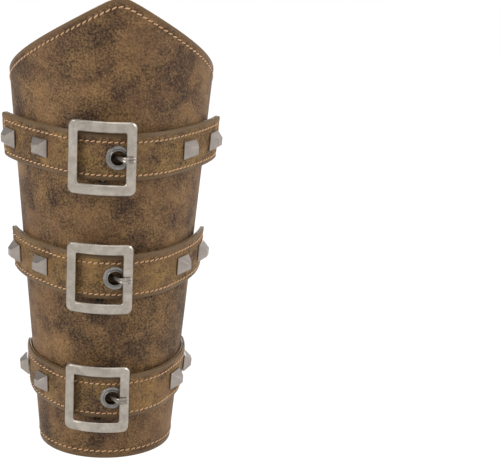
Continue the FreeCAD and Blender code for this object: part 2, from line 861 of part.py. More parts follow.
def main():
    os.makedirs("parts", exist_ok=True)
    outer_shell = leather_layer(0, outer_leather)
    lining = leather_layer(outer_leather + glue_line, lining_leather)
    print("back height", round(back_height, 1))

    eyelet_hole = eyelet_bore / 2 + eyelet_wall + leather_hole_clearance
    for side, name in ((-1, "left"), (1, "right")):
        washers = []
        for row in range(1, eyelets_per_side + 1):
            seat = eyelet_seat(side, row)
            outer_shell = drill(outer_shell, seat, eyelet_hole, -2 * wall, wall, ring_sides)
            lining = drill(lining, seat, eyelet_hole, -2 * wall, wall, ring_sides)
            save("lace_eyelet_" + name + "_" + str(row), eyelet(), seat)
            washers.append(placed(eyelet_washer(), seat))
        save("eyelet_washers_" + name, Part.makeCompound(washers))

    for place in strap_heights:
        run = StrapRun(place)
        front = run.place()
        face, backing = strap_solids(run)
        save("strap_face_" + place, face, front)
        save("strap_backing_" + place, backing, front)
        save("strap_grommet_" + place, grommet(run), front)
        save("grommet_washer_" + place, grommet_washer(run), front)
        save("buckle_frame_" + place, buckle_frame(run), front)
        save("buckle_bar_" + place, buckle_bar(run), front)
        save("buckle_prong_" + place, buckle_prong(run), front)
        caps = []
        for name, reach in stud_reaches().items():
            length, cap_top = stud_depths(run, reach)
            seat = front.multiply(run.seat(reach, strap_thickness + stud_seat_clearance))
            save("stud_" + place + "_" + name, stud(length), seat)
            caps.append(placed(stud_cap().translated(Vector(0, 0, -cap_top)), seat))
            hole = stud_post_radius + leather_hole_clearance
            if abs(reach) == inner_stud_reach:
                outer_shell = drill(outer_shell, seat, hole, -length - wall, 0, post_sides)
                lining = drill(lining, seat, hole, -length - wall, 0, post_sides)
        save("stud_caps_" + place, Part.makeCompound(caps))

    save("lace", lace())
    save("outer_shell", outer_shell)
    save("lining", lining)


main()
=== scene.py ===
# %% [markdown]
# # A laced leather vambrace
#
# A vambrace guards the forearm. This one is a peaked, tapering tube of two leathers, sewn together round
# the edge, laced up the back, and dressed with three buckled and studded straps. It stands on its wrist rim.
# Each cell makes one kind of piece. The sizes are in millimetres, as a leather worker would write them, and
# every mesh is turned into metres when it is finished.

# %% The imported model
import math

import bmesh
import bpy
from mathutils import Matrix, Vector


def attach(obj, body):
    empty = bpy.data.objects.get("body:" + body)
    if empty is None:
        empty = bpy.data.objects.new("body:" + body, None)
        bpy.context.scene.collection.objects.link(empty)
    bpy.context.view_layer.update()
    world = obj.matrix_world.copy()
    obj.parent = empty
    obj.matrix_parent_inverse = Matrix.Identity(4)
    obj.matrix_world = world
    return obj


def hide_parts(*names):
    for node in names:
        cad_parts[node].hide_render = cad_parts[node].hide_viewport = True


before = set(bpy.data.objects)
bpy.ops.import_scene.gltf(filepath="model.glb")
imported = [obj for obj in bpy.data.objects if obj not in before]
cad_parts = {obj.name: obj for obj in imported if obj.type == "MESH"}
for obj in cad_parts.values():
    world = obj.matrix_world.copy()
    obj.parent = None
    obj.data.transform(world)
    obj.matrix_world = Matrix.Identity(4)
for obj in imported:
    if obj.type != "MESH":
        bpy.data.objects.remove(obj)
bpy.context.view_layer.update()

# %% [markdown]
# ## Camera
#
# A photograph is matched best by working out where its camera stood: how far away, how high, and how much
# it was turned and tilted. The lens length then follows from the size of the picture. Nothing is shifted.

# %% Camera
image_width = 500
focal_pixels = 1220.0
sensor_width = 36.0
camera_place = Vector((-45.831, -681.710, 291.527))
yaw, pitch, roll = (math.radians(angle) for angle in (10.631, 13.769, 2.696))


def axes(x_axis, y_axis, z_axis):
    """Turns X, Y and Z into these directions. Longer ones stretch as well."""
    return Matrix((x_axis, y_axis, z_axis)).transposed().to_4x4()


def linked(name, data):
    """A new object in the scene."""
    made = bpy.data.objects.new(name, data)
    bpy.context.scene.collection.objects.link(made)
    return made


forward = Vector((math.sin(yaw) * math.cos(pitch), math.cos(yaw) * math.cos(pitch), -math.sin(pitch)))
level_right = Vector((math.cos(yaw), -math.sin(yaw), 0))
level_up = level_right.cross(forward)
camera_right = level_right * math.cos(roll) + level_up * math.sin(roll)
camera_up = level_up * math.cos(roll) - level_right * math.sin(roll)

camera = linked("camera", bpy.data.cameras.new("camera"))
bpy.context.scene.camera = camera
camera.data.sensor_fit = "HORIZONTAL"
camera.data.sensor_width = sensor_width
camera.data.lens = focal_pixels / image_width * sensor_width
camera.matrix_world = Matrix.Translation(camera_place / 1000) @ axes(camera_right, camera_up, -forward)
print("lens in millimetres:", round(camera.data.lens, 1))

# %% [markdown]
# ## Sizes of the guard
#
# The tube is part of a cone, narrow at the wrist. Its top rim is cut in two lines that are straight in the
# flat leather and meet in a round peak at the front. A lacing gap runs up the back and opens towards the rim.

# %% Sizes and the cone
wrist_radius, elbow_radius, front_height = 38.3, 59.5, 258.0
outer_leather, glue_line, lining_leather = 1.6, 0.1, 1.2
wall = outer_leather + glue_line + lining_leather
rim_slope, peak_round = 0.59, 8.0
gap_at_wrist, gap_at_rim, gap_flare_power = 6.4, 17.0, 3.0
slope = (elbow_radius - wrist_radius) / front_height
half_angle = math.atan(slope)


def tube_radius(height):
    return wrist_radius + slope * height


def rim_height(angle):
    """Height of the top rim at an angle from the front."""
    peak_from_apex = tube_radius(front_height) / math.sin(half_angle)
    rounding = rim_slope * peak_round / tube_radius(front_height)
    turn = math.hypot(angle, rounding) - rounding
    cut_angle = math.atan(rim_slope)
    from_apex = peak_from_apex * math.cos(cut_angle) / math.cos(turn * math.sin(half_angle) - cut_angle)
    return front_height - (peak_from_apex - from_apex) * math.cos(half_angle)


back_height = rim_height(math.pi)


def half_gap(height):
    share = max(height, 0.0) / back_height
    return (gap_at_wrist + (gap_at_rim - gap_at_wrist) * share ** gap_flare_power) / 2


def tube_seat(angle, height):
    """Matrix of a place on the tube: X across, Y up the leather, Z straight out of it."""
    across = Vector((math.cos(angle), math.sin(angle), 0))
    level, fall = math.cos(half_angle), math.sin(half_angle)
    outward = Vector((math.sin(angle) * level, -math.cos(angle) * level, -fall))
    up = outward.cross(across)
    radius = tube_radius(height)
    place = Vector((radius * math.sin(angle), -radius * math.cos(angle), height))
    return Matrix.Translation(place) @ axes(across, up, outward)


def gap_angle(height):
    """Angle from the front to the edge of the lacing gap."""
    return math.pi - math.asin(half_gap(height) / tube_radius(height))


print("rim height at the back:", round(back_height, 1), "mm")

# %% [markdown]
# ## Tools for the materials
#
# A material is a small network of nodes. Colours are picked as sRGB hex values, as in a paint program, and
# turned to the linear values that the shader works with. Patterns follow Object coordinates, which are in
# metres here, so the scale of a pattern is one thousand divided by its size in millimetres. The short
# functions at the end stand for the nodes that most of the materials use.

# %% Colour, pattern size and nodes


def paint(hex_colour):
    """Linear colour from an sRGB hex value."""
    channels = []
    for index in (0, 2, 4):
        value = int(hex_colour[index:index + 2], 16) / 255
        channels.append(value / 12.92 if value <= 0.04045 else ((value + 0.055) / 1.055) ** 2.4)
    return (*channels, 1.0)


def scale_for(size):
    """Pattern scale for a feature of this many millimetres."""
    return 1000.0 / size


def add_node(tree, kind, settings, inputs):
    """Adds a node, gives it its settings, and fills or links its inputs."""
    node = tree.nodes.new(kind)
    for name, value in settings.items():
        setattr(node, name, value)
    for name, value in inputs.items():
        if isinstance(value, bpy.types.NodeSocket):
            tree.links.new(value, node.inputs[name])
        else:
            node.inputs[name].default_value = value
    return node


def new_material(name, **shader_values):
    """A material with its own shader, whose plain values are set on the shader's sockets."""
    material = bpy.data.materials.new(name)
    material.use_nodes = True
    tree = material.node_tree
    shader = tree.nodes["Principled BSDF"]
    for socket, value in shader_values.items():
        shader.inputs[socket.replace("_", " ")].default_value = value
    return material, tree, shader


def object_place(tree):
    return add_node(tree, "ShaderNodeTexCoord", {}, {}).outputs["Object"]


def noise(tree, place, scale, dimensions="3D", **values):
    return add_node(tree, "ShaderNodeTexNoise", {"noise_dimensions": dimensions}, {
        "Vector": place, "Scale": scale, **values}).outputs["Fac"]


def spread(tree, value, low, high, to_low=0.0, to_high=1.0):
    """Spreads the part of a value between two limits over another range, and cuts off the rest."""
    return add_node(tree, "ShaderNodeMapRange", {}, {
        "Value": value, "From Min": low, "From Max": high,
        "To Min": to_low, "To Max": to_high}).outputs["Result"]


def blend(tree, share, first, second):
    """Mixes two colours. Each is a hex value or comes out of another node."""
    first, second = (paint(colour) if isinstance(colour, str) else colour for colour in (first, second))
    return add_node(tree, "ShaderNodeMix", {"data_type": "RGBA"}, {0: share, 6: first, 7: second}).outputs[2]


def maths(tree, operation, *values):
    return add_node(tree, "ShaderNodeMath", {"operation": operation}, dict(enumerate(values))).outputs[0]


def connect(tree, shader, colour, rough=None, height=None, strength=0.0, depth=0.0):
    """Links a colour, a roughness and the height of a bump, whose depth is in metres, to the shader."""
    tree.links.new(colour, shader.inputs["Base Color"])
    if rough:
        tree.links.new(rough, shader.inputs["Roughness"])
    if height:
        bump = add_node(
            tree, "ShaderNodeBump", {}, {"Height": height, "Strength": strength, "Distance": depth})
        tree.links.new(bump.outputs["Normal"], shader.inputs["Normal"])


# %% [markdown]
# ## Distressed leather
#
# The leather is vegetable-tanned cowhide with a waxed, rubbed finish. The wax darkens it in clouds, the
# golden tan shows through where it was rubbed, and in the darker clouds the finish has crazed into fine dark
# specks. It is nearly matt. Two noises of different sizes make the clouds and the rubbed places. A fine one
# makes the specks and a pale dust, and with a cell pattern the grain. A photograph could be pasted on
# instead, but a pattern made of nodes has no seams and holds at any distance.

# %% Leather


def leather(name, dark, middle, golden, speck, dust, burnish, cloud_size):
    material, tree, shader = new_material(name, IOR=1.47, Specular_IOR_Level=0.22)
    place = object_place(tree)
    clouds = noise(tree, place, scale_for(cloud_size), Detail=4.0, Roughness=0.6, Distortion=0.3)
    rubbed = noise(tree, place, scale_for(0.62 * cloud_size), "4D", W=3.7, Detail=5.0, Roughness=0.62)
    # Real specks and pores are about half as large: they are drawn coarser so that the picture shows them.
    fine = noise(tree, place, scale_for(1.1), Detail=4.0, Roughness=0.75)
    cells = add_node(tree, "ShaderNodeTexVoronoi", {"feature": "DISTANCE_TO_EDGE"}, {
        "Vector": place, "Scale": scale_for(1.9), "Randomness": 1.0})
    base = blend(tree, spread(tree, clouds, 0.40, 0.60), dark, middle)
    warm = blend(tree, spread(tree, rubbed, 0.42, 0.66, 0, 0.85), base, golden)
    dusty = blend(tree, spread(tree, fine, 0.52, 0.7, 0, 0.4), warm, dust)
    crazed = spread(tree, clouds, 0.64, 0.44, 0.35)
    specks = maths(tree, "MULTIPLY", spread(tree, fine, 0.52, 0.4, 0, 0.8), crazed)
    edge = add_node(tree, "ShaderNodeAttribute", {"attribute_name": "rubbed_edge"}, {})
    edge_share = spread(tree, edge.outputs["Fac"], 0.1, 0.45, 0, 0.8)
    colour = blend(tree, edge_share, blend(tree, specks, dusty, speck), burnish)
    rough = maths(tree, "MULTIPLY_ADD", edge_share, -0.15, spread(tree, rubbed, 0.35, 0.7, 0.66, 0.52))
    grain = blend(tree, 0.55, spread(tree, cells.outputs["Distance"], 0, 0.12), fine)
    connect(tree, shader, colour, rough, grain, 0.35, 0.00012)
    return material


shell_leather = leather(
    "waxed_cowhide_shell", "473324", "6A4E36", "8B6A43", "1A120C", "A78B68", "6B543B", 24.0)
strap_leather = leather(
    "waxed_cowhide_strap", "503A2A", "735639", "90703F", "1D140D", "A98C62", "645039", 18.0)
lining_leather_finish = leather(
    "brown_lining_cowhide", "32251B", "44331F", "5F482C", "1A120D", "7A6243", "54422F", 20.0)
print("leathers:", shell_leather.name, strap_leather.name, lining_leather_finish.name)

# %% [markdown]
# ## Burnished and pale edges
#
# A cut edge shows the layers of hide. The straps and the lacing edges are rubbed smooth with wax until they
# are an even tan. The top rim's edge is pale where it faces up: partly its own pale finish, partly painted
# highlight from the light above.

# %% Edges


def cut_edge(name, light, shade, roughness):
    material, tree, shader = new_material(name, IOR=1.48, Roughness=roughness, Specular_IOR_Level=0.3)
    fibres = noise(tree, object_place(tree), scale_for(3.0), Detail=4.0, Roughness=0.7)
    connect(tree, shader, blend(tree, fibres, shade, light), None, fibres, 0.3, 0.0001)
    return material


burnished_edge = cut_edge("burnished_hide_edge", "8C7350", "5F4B36", 0.42)
# Pale edge colour for the top rim: partly the rim's own finish, partly painted highlight from the light
# above.
pale_rim_and_highlight = cut_edge("pale_rim_and_painted_highlight", "E6D3C3", "B79F8A", 0.6)
print("edges:", burnished_edge.name, pale_rim_and_highlight.name)

# %% [markdown]
# ## Antique nickel
#
# The buckles, studs, eyelets and grommets are nickel-plated and then tumbled, which leaves a satin grey with
# faint clouds and softly worn edges. Only the roughness and a little of the colour change over the surface.

# %% Nickel


def nickel(name, light, shade, roughness, cloud_size):
    material, tree, shader = new_material(name, Metallic=1.0)
    place = object_place(tree)
    clouds = noise(tree, place, scale_for(cloud_size), Detail=5.0, Roughness=0.65)
    # The tumbling marks are about a fifth of this size. They are drawn coarser to break up the gloss.
    grit = noise(tree, place, scale_for(0.5), Detail=2.0)
    colour = blend(tree, spread(tree, clouds, 0.35, 0.65), shade, light)
    rough = spread(tree, grit, 0.3, 0.7, roughness - 0.06, roughness + 0.08)
    connect(tree, shader, colour, rough, grit, 0.15, 0.00002)
    return material


buckle_nickel = nickel("antique_nickel_buckle", "B5ACA1", "999187", 0.38, 5.0)
stud_nickel = nickel("antique_nickel_stud", "A69D95", "968D86", 0.36, 4.0)
eyelet_nickel = nickel("antique_nickel_eyelet", "A09B96", "827E7A", 0.28, 4.0)
grommet_nickel = nickel("antique_nickel_grommet", "8C8883", "6E6B67", 0.3, 4.0)
prong_nickel = nickel("antique_nickel_prong", "AAA299", "7C756D", 0.35, 4.0)
print("nickels:", len([name for name in bpy.data.materials.keys() if "nickel" in name]))

# %% [markdown]
# ## Thread and lace
#
# The thread is bonded polyester, thick and peach-tan, and it lies in short slanted stitches. Each stitch
# goes down through a hole, shown as a flat dark patch of painted shade. The lace is brown waxed cotton: its
# fibres run along it, so its pattern follows the length, and the light that the wax catches is painted into
# its colour as pale streaks.

# %% Thread and lace finishes


def thread_finish():
    material, tree, shader = new_material("bonded_polyester_thread", IOR=1.5, Roughness=0.5, Sheen_Weight=0.2)
    twist = noise(tree, object_place(tree), scale_for(1.5), Detail=2.0)
    connect(tree, shader, blend(tree, twist, "A0744A", "E2B484"))
    return material


def lace_finish():
    """The pattern follows an attribute in millimetres: round the lace in X and Z, and along it in Y."""
    material, tree, shader = new_material("waxed_cotton_lace", IOR=1.45, Sheen_Weight=0.15)
    along = add_node(tree, "ShaderNodeAttribute", {"attribute_name": "lace_map"}, {})
    # A real fibre is far thinner. The streaks are about 0.7 mm wide and 7 mm long, so that they can be seen.
    stretched = add_node(tree, "ShaderNodeMapping", {}, {
        "Vector": along.outputs["Vector"], "Scale": (1.5, 0.14, 1.5)})
    fibres = noise(tree, stretched.outputs["Vector"], 1.0, Detail=3.0, Roughness=0.65)
    wear = noise(tree, object_place(tree), scale_for(4.0), Detail=3.0)
    brown = blend(tree, spread(tree, wear, 0.35, 0.7), "33221D", "5E4138")
    # The pale streaks are partly the fibres and partly painted highlight from the wax; the same noise also
    # makes the bump and the roughness.
    colour = blend(tree, spread(tree, fibres, 0.5, 0.7, 0, 0.6), brown, "8F7064")
    connect(tree, shader, colour, spread(tree, fibres, 0, 1, 0.34, 0.6), fibres, 0.5, 0.0002)
    return material


thread = thread_finish()
lace_cord = lace_finish()
# The stitch holes are flat dark patches of painted shade, where the thread dips into the leather.
stitch_hole_shade, _, _ = new_material("shaded_stitch_hole", Base_Color=paint("1C130D"), Roughness=0.9)
print("thread and lace:", thread.name, lace_cord.name)

# %% [markdown]
# ## From a bmesh to a finished piece
#
# Each piece is shaped in millimetres. Finishing it applies its modifiers, turns it into metres, marks the
# edges that should look sharp, and fixes it to the body that carries it.

# %% Finishing a piece


def mesh_object(name, shape, *materials):
    """A new object from a bmesh in millimetres."""
    mesh = bpy.data.meshes.new(name)
    shape.to_mesh(mesh)
    shape.free()
    for material in materials:
        mesh.materials.append(material)
    return linked(name, mesh)


def applied(piece):
    """The piece's mesh with its modifiers applied."""
    return bpy.data.meshes.new_from_object(piece.evaluated_get(bpy.context.evaluated_depsgraph_get()))


def finished(piece, body, nodes, sharp=35.0):
    """Applies the modifiers and hands the piece over to the body that it rides on."""
    mesh = applied(piece)
    piece.modifiers.clear()
    piece.data = mesh
    mesh.transform(Matrix.Scale(0.001, 4))
    shape = bmesh.new()
    shape.from_mesh(mesh)
    for face in shape.faces:
        face.smooth = True
    for edge in shape.edges:
        edge.smooth = edge.calc_face_angle(math.pi) < math.radians(sharp)
    shape.to_mesh(mesh)
    shape.free()
    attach(piece, body)
    if nodes:
        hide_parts(*nodes)
    print(piece.name, "faces", len(mesh.polygons))


def make(name, shape, finish, nodes, sharp, body="guard"):
    """A whole piece from a bmesh that needs no modifier."""
    finished(mesh_object(name, shape, finish), body, nodes, sharp)


def add_modifier(piece, kind, **settings):
    modifier = piece.modifiers.new(kind.lower(), kind)
    for name, value in settings.items():
        setattr(modifier, name, value)


def soften(piece, width, segments, angle):
    """A bevel on every edge that turns by more than an angle."""
    add_modifier(
        piece, "BEVEL", width=width, segments=segments, limit_method="ANGLE", angle_limit=math.radians(angle),
        use_clamp_overlap=True)


def cut_away(piece, cutter):
    """Takes the cutter out of the piece."""
    add_modifier(piece, "BOOLEAN", operation="DIFFERENCE", object=cutter, solver="EXACT")
    cutter.hide_render = True


# %% [markdown]
# ## The leather tube
#
# The real tube is two flat pieces of leather, glued, sewn and bent round. It is modelled the same way: a
# flat grid is bent onto the cone, so its rows run from edge to edge as the grain does, and Solidify gives it
# its thickness. The corners of the flat grid are drawn in onto circles before it is bent.

# %% Bending the leather
top_corner_round, bottom_corner_round = 6.0, 7.0
rubbed_width, leather_bevel, columns, rows = 2.8, 0.35, 190, 120


def drawn_into_corner(from_side, from_end, radius):
    """Moves a point of a square corner onto a round one, keeping the grid's rows apart."""
    if from_side >= radius or from_end >= radius:
        return from_side, from_end
    across, along = 1 - from_side / radius, 1 - from_end / radius
    pull = max(across, along) / max(math.hypot(across, along), 1e-9)
    return radius * (1 - across * pull), radius * (1 - along * pull)


def bent_leather(name, offset, thickness, finish):
    """A grid bent onto the cone at an offset from its outer face, with a thickness inside."""
    shape = bmesh.new()
    rubbed_edge = shape.verts.layers.float.new("rubbed_edge")
    bmesh.ops.create_grid(shape, x_segments=columns, y_segments=rows, size=1)
    for vertex in shape.verts:
        share, up = vertex.co.x, (vertex.co.y + 1) / 2
        angle = share * gap_angle(up * rim_height(abs(share) * math.pi))
        top = rim_height(angle)
        height = up * top
        radius = tube_radius(height)
        from_side = (1 - abs(share)) * gap_angle(height) * radius
        side, low = drawn_into_corner(from_side, height, bottom_corner_round)
        if height > top / 2:
            side, from_top = drawn_into_corner(from_side, top - height, top_corner_round)
            low = top - from_top
        vertex[rubbed_edge] = max(0.0, 1 - min(from_side, height, top - height) / rubbed_width)
        angle = math.copysign(gap_angle(low) - side / tube_radius(low), share)
        vertex.co = tube_seat(angle, low) @ Vector((0, 0, offset))
    piece = mesh_object(name, shape, finish, burnished_edge, pale_rim_and_highlight)
    add_modifier(piece, "SOLIDIFY", thickness=thickness, offset=-1, use_rim=True, material_offset_rim=1)
    soften(piece, leather_bevel, 2, 50)
    return piece


def pale_rim_paint_and_highlight(piece):
    """Gives the cut edge that faces upwards its pale colour: partly its finish, partly painted highlight from
    above.
    """
    for face in piece.data.polygons:
        if face.material_index == 1 and face.normal.z > 0.35 and face.center.z > 0.1:
            face.material_index = 2


# %% [markdown]
# ## Holes for the eyelets and studs
#
# Seven eyelets stand on each side of the gap. Each goes through a punched hole, and so do the posts of the
# inner studs. Round cutters on the same places take the holes out of both leathers.

# %% Eyelet places and holes
eyelets_per_side, eyelet_from_gap = 7, 11.0
eyelet_above_wrist, eyelet_below_rim = 20.0, 16.5
eyelet_rim, eyelet_bore, eyelet_wall, eyelet_crown = 5.75, 3.25, 0.5, 1.1
washer_thickness, hole_room, post_hole = 0.5, 0.1, 1.6
eyelet_barrel = eyelet_bore + eyelet_wall
eyelet_pitch = (back_height - eyelet_above_wrist - eyelet_below_rim) / (eyelets_per_side - 1)


def eyelet_height(row):
    return eyelet_above_wrist + eyelet_pitch * (eyelets_per_side - row)


def eyelet_seat(side, row):
    height = eyelet_height(row)
    return tube_seat(side * (math.pi - (half_gap(height) + eyelet_from_gap) / tube_radius(height)), height)


def sagitta(radius, half_width):
    """How far a curve of this radius falls away over a half width."""
    return radius - math.sqrt(radius ** 2 - half_width ** 2)


def round_bar(shape, radius, length, seat):
    """Adds a cylinder along Z, with its middle on a seat."""
    bmesh.ops.create_cone(
        shape, cap_ends=True, segments=32, radius1=radius, radius2=radius, depth=length, matrix=seat)


def punch(shape, seat, radius, low, high):
    """Adds a round cutter or post between two depths at a seat."""
    round_bar(shape, radius, high - low, seat @ Matrix.Translation((0, 0, (low + high) / 2)))


# %% [markdown]
# ## The line of a strap
#
# A strap is stiff. It stands a little off the tube under its buckle, comes down to the tube in a straight
# line beside it, and its ends stand away again in a wider curve.

# %% Strap line
strap_heights = {"top": 177.2, "middle": 111.2, "bottom": 41.0}
flare_radii = {"top": 97.0, "middle": 70.0, "bottom": 45.0}
strap_half_width, strap_half_length = 12.5, 79.0
strap_face_thickness, strap_backing_thickness = 1.3, 1.0
strap_thickness = strap_face_thickness + strap_backing_thickness
strap_corner_round, stand_off, seat_clearance = 4.0, 4.6, 0.3
inner_reach, outer_reach = 44.0, 69.0


class StrapLine:
    """A strap's back line in its own frame: X across the front, Y up the tube, Z outward."""

    def __init__(self, place):
        self.height = strap_heights[place]
        self.flare_radius = flare_radii[place]
        self.tube = tube_radius(self.height) / math.sqrt(math.cos(2 * half_angle))
        lift = stand_off - seat_clearance
        self.touch = inner_reach / (self.tube + seat_clearance + 2 * lift / 3)
        self.shift = lift / (1 - math.cos(self.touch))
        self.arc_radius = self.tube + seat_clearance - self.shift * math.cos(self.touch)
        self.arc_length = self.arc_radius * self.touch
        self.line_length = self.shift * math.sin(self.touch)
        self.arc_centre = self.shift - self.tube
        self.seat = tube_seat(0, self.height)

    def point(self, reach, up, offset):
        """A point at a distance along the strap, up its width and out from its back."""
        along = abs(reach)
        tube = self.tube + up * math.sin(half_angle)
        radius = self.arc_radius + up * math.sin(half_angle) + offset
        angle = min(along, self.arc_length) / self.arc_radius
        if along <= self.arc_length + self.line_length:
            straight = max(along - self.arc_length, 0)
            across = radius * math.sin(angle) + straight * math.cos(angle)
            out = self.shift - tube + radius * math.cos(angle) - straight * math.sin(angle)
        else:
            angle = self.touch + (along - self.arc_length - self.line_length) / self.flare_radius
            centre = tube + seat_clearance - self.flare_radius
            across = centre * math.sin(self.touch) + (self.flare_radius + offset) * math.sin(angle)
            out = centre * math.cos(self.touch) + (self.flare_radius + offset) * math.cos(angle) - tube
        return self.seat @ Vector((math.copysign(across, reach), up, out))

    def seat_at(self, reach, offset, up=0.0):
        """Matrix of a place on the strap, with Z straight out of it."""
        step = 0.05
        across = (self.point(reach + step, up, offset) - self.point(reach - step, up, offset)).normalized()
        upward = self.point(reach, up + step, offset) - self.point(reach, up - step, offset)
        outward = across.cross(upward).normalized()
        turn = axes(across, outward.cross(across), outward)
        return Matrix.Translation(self.point(reach, up, offset)) @ turn

    def turned_at(self, place):
        """Matrix at a place, turned as the strap is at its middle."""
        return Matrix.Translation(place) @ self.seat.to_3x3().to_4x4()

    def outward_at(self, place):
        """The direction straight out of the strap at a place on it."""
        local = self.seat.inverted() @ place
        centre = Vector((0, local.y, self.arc_centre))
        if abs(local.x) > self.point(self.arc_length, 0, 0).x:
            side = math.copysign(1, local.x)
            middle = self.tube + seat_clearance - self.flare_radius
            centre = Vector((
                side * middle * math.sin(self.touch), local.y, middle * math.cos(self.touch) - self.tube))
        return (self.seat.to_3x3() @ (local - centre)).normalized()


straps = {place: StrapLine(place) for place in strap_heights}
for place, line in straps.items():
    print("strap", place, "front arc radius", round(line.arc_radius, 1), "mm")

# %% [markdown]
# ## Outer leather and lining
#
# Now that the places of all the eyelets and studs are known, the two leathers are bent and punched. The
# holes are cut before the leather is turned into metres.

# %% Outer leather and lining
hole_cutter = bmesh.new()
for side in (-1, 1):
    for row in range(1, eyelets_per_side + 1):
        punch(hole_cutter, eyelet_seat(side, row), eyelet_barrel + hole_room, -8, 4)
for line in straps.values():
    for reach in (-inner_reach, inner_reach):
        punch(hole_cutter, line.seat_at(reach, 0), post_hole, -9, 0.2)
leather_holes = mesh_object("leather_holes", hole_cutter)

for name, offset, thickness, finish, slot, node in (
        ("outer_leather", 0, outer_leather, shell_leather, "shell_leather", "outer_shell"),
        ("inner_leather", -outer_leather - glue_line, lining_leather, lining_leather_finish, "lining_leather",
         "lining")):
    piece = bent_leather(name, offset, thickness, finish)
    cut_away(piece, leather_holes)
    finished(piece, "guard", [node])
    pale_rim_paint_and_highlight(piece)
bpy.data.objects.remove(leather_holes)

# %% [markdown]
# ## Straps
#
# Each strap is a face leather sewn to a backing. The face is a little crowned and pulled down along its
# seam. A grid is laid along the strap's line, its corners are drawn in, and Solidify gives it its thickness.

# %% Strap leathers
seam_from_top, seam_from_bottom, seam_from_end = 4.3, 2.9, 3.4
edge_drop, edge_width, seam_drop, seam_width, face_hollow = 0.5, 2.2, 0.16, 0.9, 0.55
strap_bevel, strap_columns, strap_rows = 0.3, 160, 44


def strap_surface(reach, up):
    """How far the face is drawn down at a place: at its rubbed edges and along its seam."""
    from_edge = min(strap_half_width - abs(up), strap_half_length - abs(reach))
    drop = edge_drop * max(0.0, 1 - from_edge / edge_width) ** 2
    to_seam = min(
        abs(strap_half_width - seam_from_top - up), abs(up + strap_half_width - seam_from_bottom),
        abs(strap_half_length - seam_from_end - abs(reach)))
    return drop + seam_drop * math.exp(-(to_seam / seam_width) ** 2)


def strap_leather_piece(name, line, offset, thickness, is_face):
    """The face is thinned from behind, so that where it is drawn down it stays clear of the backing."""
    shape = bmesh.new()
    rubbed_edge = shape.verts.layers.float.new("rubbed_edge")
    bmesh.ops.create_grid(shape, x_segments=strap_columns, y_segments=strap_rows, size=1)
    for vertex in shape.verts:
        from_end, from_side = drawn_into_corner(
            (1 - abs(vertex.co.x)) * strap_half_length, (1 - abs(vertex.co.y)) * strap_half_width,
            strap_corner_round)
        reach = math.copysign(strap_half_length - from_end, vertex.co.x)
        up = math.copysign(strap_half_width - from_side, vertex.co.y)
        vertex[rubbed_edge] = max(0.0, 1 - min(from_end, from_side) / rubbed_width)
        drop = strap_surface(reach, up) if is_face else 0
        vertex.co = line.point(reach, up, offset - drop)
    piece = mesh_object(name, shape, strap_leather, burnished_edge)
    add_modifier(
        piece, "SOLIDIFY", thickness=thickness - (face_hollow if is_face else 0), offset=-1, use_rim=True,
        material_offset_rim=1)
    soften(piece, strap_bevel, 2, 50)
    return piece


grommet_rim, grommet_bore, grommet_wall, grommet_flange = 6.5, 3.8, 0.5, 0.7
grommet_barrel = grommet_bore + grommet_wall
for place, line in straps.items():
    cutter = bmesh.new()
    punch(cutter, line.seat_at(0, 0), grommet_barrel + hole_room, -3, 6)
    for reach in (-outer_reach, -inner_reach, inner_reach, outer_reach):
        punch(cutter, line.seat_at(reach, 0), post_hole, -3, 6)
    strap_holes = mesh_object("strap_holes", cutter)
    for name, node, back, thickness in (
            ("strap_front_", "strap_face_", strap_thickness, strap_face_thickness),
            ("strap_back_", "strap_backing_", strap_backing_thickness, strap_backing_thickness)):
        piece = strap_leather_piece(name + place, line, back, thickness, node == "strap_face_")
        cut_away(piece, strap_holes)
        finished(piece, "guard", [node + place])
    bpy.data.objects.remove(strap_holes)

# %% [markdown]
# ## Turned metal: eyelets, washers, grommets and rivet caps
#
# Each is a ring pressed from sheet. A few points of its cross-section are joined by edges and spun round its
# own axis, then moved to its place. A rolled flange catches the light in a bright inner ring.

# %% Spinning a profile


def spun(shape, profile, seat, steps=40):
    """Spins a closed outline of radius and height pairs round Z, and puts it on a seat."""
    ring = [shape.verts.new((radius, 0, height)) for radius, height in profile]
    edges = [shape.edges.new((ring[index - 1], ring[index])) for index in range(len(ring))]
    before = set(shape.verts)
    bmesh.ops.spin(
        shape, geom=ring + edges, cent=(0, 0, 0), axis=(0, 0, 1), angle=2 * math.pi, steps=steps,
        use_merge=True)
    made = [vertex for vertex in shape.verts if vertex not in before] + ring
    bmesh.ops.recalc_face_normals(shape, faces=list({face for vertex in made for face in vertex.link_faces}))
    bmesh.ops.transform(shape, matrix=seat, verts=made)


def rolled(inner, outer, base, crown, foot, barrel, lip):
    """Cross-section of an eyelet: a barrel, a rolled lip of a given width, and a flat flange round it."""
    rise = 0.42 * crown
    flange = base + rise
    points = [
        (inner + 0.05, foot), (barrel, foot), (barrel, base), (outer - 0.12, base), (outer, base + 0.12),
        (outer - 0.05, flange - 0.1), (outer - 0.2, flange), (inner + lip + 0.12, flange),
        (inner + lip, flange - 0.08)]
    for step in range(1, 9):
        turn = math.pi * step / 8
        points.append((inner + lip * (0.5 + 0.5 * math.cos(turn)), flange + (crown - rise) * math.sin(turn)))
    return points


